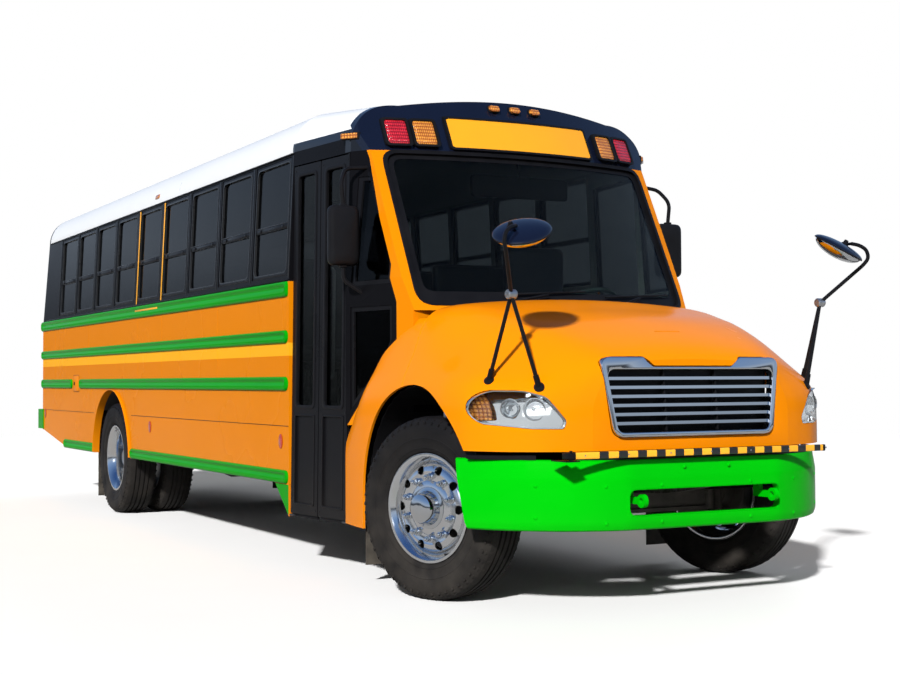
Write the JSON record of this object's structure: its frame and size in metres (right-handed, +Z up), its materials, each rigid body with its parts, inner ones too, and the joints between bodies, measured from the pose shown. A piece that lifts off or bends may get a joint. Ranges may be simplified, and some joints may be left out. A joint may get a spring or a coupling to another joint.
{
  "type": "conventional school bus",
  "caption": "Full-size bonneted school bus with a hollow cabin, seats, tilting bonnet, steered front wheels, twin rear wheels, opening doors, stop arm and crossing gate.",
  "frame": {"origin": "on the ground, in the middle of the overall length and width", "axes": "+Z up, -Y forward (the bus faces -Y), +X towards the driver's (left) side"},
  "size_m": [2.62, 10.2, 3.035],
  "materials": {
    "school_yellow": "gloss orange-yellow coach paint",
    "bright_green": "gloss bright green paint",
    "roof_white": "off-white roof paint",
    "header_navy": "near-black navy paint",
    "black_paint": "satin black paint",
    "chassis_black": "chassis paint with road dust",
    "engine_iron": "cast and painted",
    "bright_chrome": "polished",
    "wheel_aluminium": "polished forged wheel",
    "zinc_steel": "weathered steel",
    "tyre_rubber": "black tread and side walls",
    "flap_rubber": "matt black",
    "clear_glass": "clear, lightly tinted",
    "dark_glass": "dark tint",
    "lamp_clear": "clear moulded lens",
    "lamp_red": "red moulded lens",
    "lamp_amber": "amber moulded lens",
    "sign_yellow": "blank yellow sign face",
    "floor_rubber": "ribbed dark floor covering",
    "seat_vinyl": "dark seat covering",
    "dash_plastic": "grained grey-green moulding",
    "black_plastic": "textured black moulding",
    "gate_yellow": "yellow with black bands",
    "stop_red": "blank red eight-sided blade"
  },
  "bodies": {
    "chassis": {"amber_lamps": "lamp_amber", "arm_brackets": "black_paint", "cab_front": "school_yellow", "cowl_wings": "school_yellow", "dashboard": "dash_plastic", "driveshaft": "zinc_steel", "engine_block": "engine_iron", "exhaust": "zinc_steel", "floor": "floor_rubber", "frame_rails": "chassis_black", "front_axle": "chassis_black", "front_bumper": "bright_green", "front_header": "header_navy", "fuel_tank": "chassis_black", "leaf_springs": "chassis_black", "mud_flaps": "flap_rubber", "radiator": "chassis_black", "rear_axle": "chassis_black", "rear_bumper": "black_paint", "rear_wall": "school_yellow", "rearview_mirrors": "black_plastic", "red_lamps": "lamp_red", "roof": "roof_white", "rub_rails": "bright_green", "seat_frames": "zinc_steel", "seats": "seat_vinyl", "side_wall_curb": "school_yellow", "side_wall_driver": "school_yellow", "sign_panels": "sign_yellow", "tow_hooks": "bright_green", "window_glass": "dark_glass", "window_sashes": "black_paint", "windscreen": "clear_glass"},
    "knuckle_left": {"knuckle_left": "chassis_black"},
    "knuckle_right": {"knuckle_right": "chassis_black"},
    "tie_rod": {"tie_rod": "chassis_black"},
    "wheel_front_left": {"tyre_front_left": "tyre_rubber", "rim_front_left": "wheel_aluminium"},
    "wheel_front_right": {"tyre_front_right": "tyre_rubber", "rim_front_right": "wheel_aluminium"},
    "wheels_rear_left": {"tyres_rear_left": "tyre_rubber", "rims_rear_left": "wheel_aluminium"},
    "wheels_rear_right": {"tyres_rear_right": "tyre_rubber", "rims_rear_right": "wheel_aluminium"},
    "bonnet": {"bonnet": "school_yellow", "headlamps": "lamp_clear", "grille": "bright_chrome", "crossview_arms": "black_paint", "crossview_heads": "black_plastic"},
    "door_front": {"door_leaf_front": "black_paint", "door_glass_front": "dark_glass"},
    "door_rear": {"door_leaf_rear": "black_paint", "door_glass_rear": "dark_glass"},
    "rear_door": {"rear_door": "school_yellow", "rear_door_glass": "dark_glass"},
    "crossing_gate": {"crossing_gate": "gate_yellow"},
    "stop_arm": {"stop_arm": "stop_red"}
  },
  "joints": [
    {"name": "steer_left", "type": "hinge", "parent": "chassis", "child": "knuckle_left", "pos_m": [0.86, -3.95, 0.46], "axis": [0, 0, 1], "range_deg": [-57, 19]},
    {"name": "steer_right", "type": "hinge", "parent": "chassis", "child": "knuckle_right", "pos_m": [-0.86, -3.95, 0.46], "axis": [0, 0, 1], "range_deg": [-57, 19]},
    {"name": "tie_rod_swing", "type": "hinge", "parent": "knuckle_left", "child": "tie_rod", "pos_m": [0.8014, -3.77981, 0.33], "axis": [0, 0, 1], "range_deg": [-19, 57]},
    {"name": "wheel_front_left_spin", "type": "hinge", "parent": "knuckle_left", "child": "wheel_front_left", "pos_m": [1.0179, -3.89563, 0.5], "axis": [0.9455, 0.3256, 0], "continuous": true},
    {"name": "wheel_front_right_spin", "type": "hinge", "parent": "knuckle_right", "child": "wheel_front_right", "pos_m": [-1.0179, -4.00437, 0.5], "axis": [0.9455, 0.3256, 0], "continuous": true},
    {"name": "wheels_rear_left_spin", "type": "hinge", "parent": "chassis", "child": "wheels_rear_left", "pos_m": [0.898, 2.095, 0.5], "axis": [1, 0, 0], "continuous": true},
    {"name": "wheels_rear_right_spin", "type": "hinge", "parent": "chassis", "child": "wheels_rear_right", "pos_m": [-0.898, 2.095, 0.5], "axis": [1, 0, 0], "continuous": true},
    {"name": "bonnet_tilt", "type": "hinge", "parent": "chassis", "child": "bonnet", "pos_m": [0, -4.95, 0.815], "axis": [1, 0, 0], "range_deg": [0, 60]},
    {"name": "door_front_swing", "type": "hinge", "parent": "chassis", "child": "door_front", "pos_m": [-1.11994, -2.93371, -0.00019], "axis": [0.0155, 0.002, 0.9999], "range_deg": [0, 90]},
    {"name": "door_rear_swing", "type": "hinge", "parent": "chassis", "child": "door_rear", "pos_m": [-1.20326, -2.28822, -0.00019], "axis": [-0.0155, -0.002, -0.9999], "range_deg": [0, 90]},
    {"name": "rear_door_swing", "type": "hinge", "parent": "chassis", "child": "rear_door", "pos_m": [-0.43, 4.944, 1.43], "axis": [0, 0, 1], "range_deg": [0, 110]},
    {"name": "crossing_gate_swing", "type": "hinge", "parent": "chassis", "child": "crossing_gate", "pos_m": [-0.86, -5.07, 0.82], "axis": [0, 0, -1], "range_deg": [0, 100]},
    {"name": "stop_arm_swing", "type": "hinge", "parent": "chassis", "child": "stop_arm", "pos_m": [1.254, -2.1, 1.64], "axis": [0, 0, -1], "range_deg": [0, 90]}
  ],
  "couplings": [
    {"joint": "steer_right", "follows": "steer_left", "ratio": 1},
    {"joint": "tie_rod_swing", "follows": "steer_left", "ratio": -1},
    {"joint": "door_rear_swing", "follows": "door_front_swing", "ratio": 1}
  ]
}
